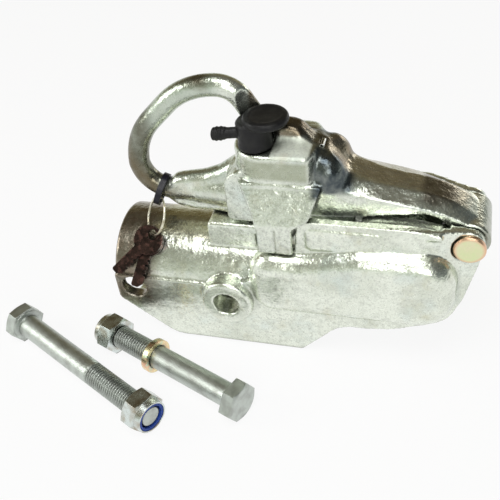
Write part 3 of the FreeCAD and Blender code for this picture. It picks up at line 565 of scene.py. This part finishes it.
def add_smoothing(obj, name, rounds):
    made = obj.modifiers.new(name, "SMOOTH")
    made.factor = smoothing_factor
    made.iterations = rounds
    return made


def softened(obj, name, rounds):
    """The object's mesh after its modifiers and a last smoothing; the object is used up."""
    add_smoothing(obj, "soften", rounds)
    data = evaluated(obj)
    data.name = name
    fine = obj.data
    bpy.data.objects.remove(obj)
    bpy.data.meshes.remove(fine)
    smooth_faces(data)
    return data


def cast_surface(name, node, body, slot, voxel, rounds, zones, added):
    """A casting's shape with what is added, finely divided and smoothed, more so in each zone."""
    shape = nodes[node].data.copy()
    shape.transform(nodes[node].matrix_world)
    obj = divided(name, [shape] + [ring_mesh(name, rings) for rings in added], voxel)
    count = len(obj.data.vertices)
    places = np.empty(count * 3)
    obj.data.vertices.foreach_get("co", places)
    places = places.reshape(count, 3) / MM
    for number, (low, high, edge, steps) in enumerate(zones):
        inside = np.minimum(places - low, np.asarray(high) - places).min(axis=1)
        share = np.clip(inside / edge, 0.0, 1.0)
        level = np.ceil(share * zone_levels).astype(int)
        group = obj.vertex_groups.new(name=f"zone_{number}")
        for k in range(1, zone_levels + 1):
            group.add(np.nonzero(level == k)[0].tolist(), k / zone_levels, "REPLACE")
        add_smoothing(obj, f"zone_{number}", steps).vertex_group = group.name
    add_piece(name, softened(obj, name, rounds), Matrix.Identity(4), body, node, slot)


# Loose cross bolts with their threads

bolt_r = 8.0
hex_flats = 24.0
head_height = 10.0
thread_pitch = 2.0
thread_depth = 1.1
thread_steps = 8
thread_gain = 1.3
thread_crest = 0.12
tip_chamfer = 1.6
chamfer_start = 0.25
chamfer_slope = 0.577


def hex_radius(a):
    sector = (a + pi / 6) % (pi / 3) - pi / 6
    return hex_flats / 2 / cos(sector)


def thread_radius(z, a, start, length):
    phase = ((z - start) / thread_pitch - a / (2 * pi)) % 1.0
    wave = min(1.0, max(0.0, (1 - abs(2 * phase - 1)) * thread_gain - thread_crest))
    fade = min(1.0, max(0.0, (z - start) / thread_pitch))
    tip = bolt_r - max(0.0, z - (length - tip_chamfer))
    return min(bolt_r - thread_depth * wave * fade, tip)


def bolt_rings(length, thread_length):
    """Rings from the chamfered head, at -Z, along the shank to the thread's end."""
    reach = hex_flats / 2 - 0.4
    rings = [circle(reach * part, -head_height) for part in (0.3, 0.7, 0.97)]
    rings.append([Vector((p.x, p.y, p.z + 0.12 * MM)) for p in circle(reach, -head_height)])
    corner = []
    for a in turns:
        r = hex_radius(a)
        z = -head_height + chamfer_start + (r - reach) * chamfer_slope
        corner.append(Vector((r * cos(a), r * sin(a), z)) * MM)
    rings.append(corner)
    rings.append(circle(hex_radius, -0.9))
    rings.append(circle(lambda a: hex_radius(a) - 0.5, -0.45))
    rings += [circle(hex_flats / 2 - 0.7, -0.42), circle(hex_flats / 2 - 0.9, 0.0)]
    rings += [circle(bolt_r + 0.7, 0.0), circle(bolt_r + 0.2, 0.2), circle(bolt_r, 0.8)]
    start = length - thread_length
    rings += [circle(bolt_r, z) for z in (start * 0.5, start - 0.3)]
    count = int(thread_length / thread_pitch * thread_steps)
    for i in range(count + 1):
        z = start + thread_length * i / count
        rings.append(circle(lambda a: thread_radius(z, a, start, length), z))
    rings.append(circle(bolt_r - 3, length))
    return rings


def floor_level():
    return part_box("coupling_body")[0][2]


def lying(x, y, turn, length):
    """Place of a bolt that lies on the floor, its middle at x, y and its axis turned from +X."""
    along = Vector((cos(radians(turn)), sin(radians(turn)), 0))
    side = Vector((0, 0, 1)).cross(along)
    place = Matrix((side.cross(along), side, along)).transposed().to_4x4()
    middle_z = floor_level() + hex_flats / 2 * MM
    place.translation = Vector((x * MM, y * MM, middle_z)) - along * (length / 2 * MM)
    return place


# Each bolt's number, middle x and y, turn, length and thread length
loose_bolts = [
    (1, -202.0, -88.0, -27.4, 132.0, 58.0),
    (2, -149.6, -73.0, 157.5, 112.0, 50.0),
]

for number, x, y, turn, length, thread_length in loose_bolts:
    piece = f"bolt_with_thread_{number}"
    add_piece(
        piece, ring_mesh(piece, bolt_rings(length, thread_length)), lying(x, y, turn, length),
        f"loose_bolt_{number}", f"long_bolt_{number}", "galvanised_bolt",
    )


# Castings: zones smoothed more than the rest, as low corner, high corner, border and rounds, and
# small forms that are added before the smoothing

handle_zones = [
    ((-64.0, -24.0, 66.0), (-24.0, 24.0, 104.0), 5.0, 110),
    ((-78.0, 8.0, 88.0), (-48.0, 32.0, 108.0), 5.0, 220),
    ((-92.0, -12.0, 103.5), (-50.0, 12.0, 118.0), 3.0, 100),
    ((-160.0, -15.0, 40.0), (-100.0, 15.0, 92.0), 8.0, 36),
]
upper_bar = [
    (-155, 60, 5.5, 5.5), (-150, 63.5, 6.8, 6.8), (-140, 65.5, 7, 7), (-131, 67, 7.2, 7.2),
    (-120, 70.5, 7.8, 8), (-110, 77, 8, 9), (-100, 84, 8, 9),
]
lower_bar = [
    (-156, 53, 4.5, 3), (-150, 50.5, 6.5, 4), (-138, 49.5, 7.5, 4.5),
    (-124, 50.5, 9, 5), (-110, 52, 12, 7), (-100, 54, 14, 8),
]
neck_stations = [
    (-46, 12, 76, 10), (-46, 12, 84, 10.5), (-46.5, 12, 91, 9.5), (-47.5, 11.5, 96, 7),
    (-48.5, 10.5, 99.5, 4),
]
ledge_stations = [(-26, 58, 60.4), (-18, 58, 62.3), (6, 58, 62.3), (22, 56, 59.6)]
platform_stations = [(-78, 0.3), (-74, 3.0), (-62, 3.0), (-57.5, 0.6)]


def bar_rings(stations):
    """Oval rings across X; each station is x, z, half width, half height."""
    rings = []
    for x, z, half_y, half_z in stations:
        rings.append([Vector((x, half_y * cos(a), z + half_z * sin(a))) * MM for a in turns])
    return rings


def ledge_rings(side):
    """Narrow ledge inside the deck wall, under the arm; each station is x, low z, high z."""
    near, inner = side * 31.0, side * 17.5
    rings = []
    for x, low, high in ledge_stations:
        corners = [(near, low), (inner, low), (inner, high), (near, high)]
        rings.append([Vector((x, y, z)) * MM for y, z in corners])
    return rings


def neck_rings():
    """A rounded column on each side, in the corner between housing and arm; x, y, z, radius."""
    columns = []
    for side in (-1, 1):
        rings = []
        for x, y, z, r in neck_stations:
            rings.append([Vector((x + r * cos(a), side * y + r * sin(a), z)) * MM for a in turns])
        columns.append(rings)
    return columns


def platform_rings():
    """Sloping platform on the housing, from its near edge up to the hump; x, rise."""
    rings = []
    for x, rise in platform_stations:
        corners = [(-23.6, 101), (-6, 101), (-6, 103 + rise), (-23.2, 103.2)]
        rings.append([Vector((x, y, z)) * MM for y, z in corners])
    return rings


cast_surface(
    "handle_casting_surface", "handle_casting", "handle", "zinc_handle", 0.8 * MM, 4,
    handle_zones, [bar_rings(upper_bar), bar_rings(lower_bar), platform_rings(), *neck_rings()],
)
cast_surface(
    "coupling_body_surface", "coupling_body", "body", "zinc_body", 0.9 * MM, 3,
    [], [ledge_rings(-1), ledge_rings(1)],
)


# Rubber cap of the lock, blended from a stem, an offset brim and a grip tab

lock_place = Vector((-90.0, -12.0, 103.3))
cap_stem = [
    (0, 0.0), (9.6, 0.0), (10.4, 0.5), (10.7, 1.6), (10.2, 4.5), (10.3, 11.0), (10.9, 16.0),
    (9.5, 17.6), (0, 17.9),
]
cap_brim = [
    (0, 15.8), (11.6, 16.0), (13.2, 16.9), (13.8, 18.3), (13.7, 19.8), (12.8, 21.0), (10.5, 21.5),
    (9.0, 21.2), (0, 20.9),
]
cap_brim_shift = 7.5
cap_voxel = 0.5 * MM
cap_rounds = 3
smallest_r = 0.2
tab_z = 9.5
tab_start = 8.0
tab_length = 17.2
tab_steps = 40
tab_r = 3.5
tab_flatness = 0.9
tab_lean = 0.22
grip_start = 16.0
grip_fade = 2.0
grip_swell = 0.8
ridge_height = 0.35
ridge_pitch = 2.4
tip_start = 22.6
tip_length = 2.6
tip_least = 0.02


def lathe_rings(profile, shift_x):
    """Rings of a turned shape, from its pairs of radius and height."""
    return [circle(max(r, smallest_r), z, shift_x) for r, z in profile]


def tab_rings():
    """Grip tab along -X with shallow rings round its end."""
    rings = []
    for i in range(tab_steps + 1):
        reach = tab_start + tab_length * i / tab_steps
        grip = max(0.0, min(1.0, (reach - grip_start) / grip_fade))
        r = tab_r + grip_swell * grip + ridge_height * grip * cos(2 * pi * reach / ridge_pitch)
        end = max(0.0, reach - tip_start) / tip_length
        r *= sqrt(max(tip_least, 1 - end * end))
        ring = []
        for a in turns:
            y = r * cos(a) * tab_flatness - reach * tab_lean
            ring.append(Vector((-reach, y, tab_z + r * sin(a))) * MM)
        rings.append(ring)
    return rings


cap_groups = [lathe_rings(cap_stem, 0.0), lathe_rings(cap_brim, cap_brim_shift), tab_rings()]
cap_shell = divided("rubber_cap", [ring_mesh("rubber_cap", rings) for rings in cap_groups], cap_voxel)
add_piece(
    "rubber_cap", softened(cap_shell, "rubber_cap", cap_rounds), Matrix.Translation(lock_place * MM),
    "cap", "lock_cap", "black_rubber",
)


# Floor

floor_white_share = 0.90
floor_reach = 6.0


def make_floor():
    """Pale floor, nearly white to the camera and in metal, which keeps the shadow."""
    mesh = bpy.data.meshes.new("floor")
    sides = ((-1, -1), (1, -1), (1, 1), (-1, 1))
    corners = [(x * floor_reach, y * floor_reach, floor_level()) for x, y in sides]
    mesh.from_pydata(corners, [], [(0, 1, 2, 3)])
    floor = bpy.data.objects.new("floor", mesh)
    bpy.context.scene.collection.objects.link(floor)
    m = Paint("floor", (0.80, 0.80, 0.80), 0.0, 0.7)
    m.tint(m.ramp(m.noise(0.4, 2), 0.4, 0.7, 0.0, 0.3), (0.77, 0.775, 0.78))
    floor.data.materials.append(m.done())
    path = m.node("ShaderNodeLightPath").outputs
    seen = m.maths("MAXIMUM", path["Is Camera Ray"], path["Is Glossy Ray"])
    seen = m.maths("MAXIMUM", seen, path["Is Transmission Ray"])
    white = m.node("ShaderNodeEmission")
    mixed = m.node("ShaderNodeMixShader")
    m.link(m.maths("MULTIPLY", seen, floor_white_share), mixed.inputs[0])
    m.link(m.shader.outputs[0], mixed.inputs[1])
    m.link(white.outputs[0], mixed.inputs[2])
    m.link(mixed.outputs[0], m.tree.nodes["Material Output"].inputs["Surface"])


make_floor()
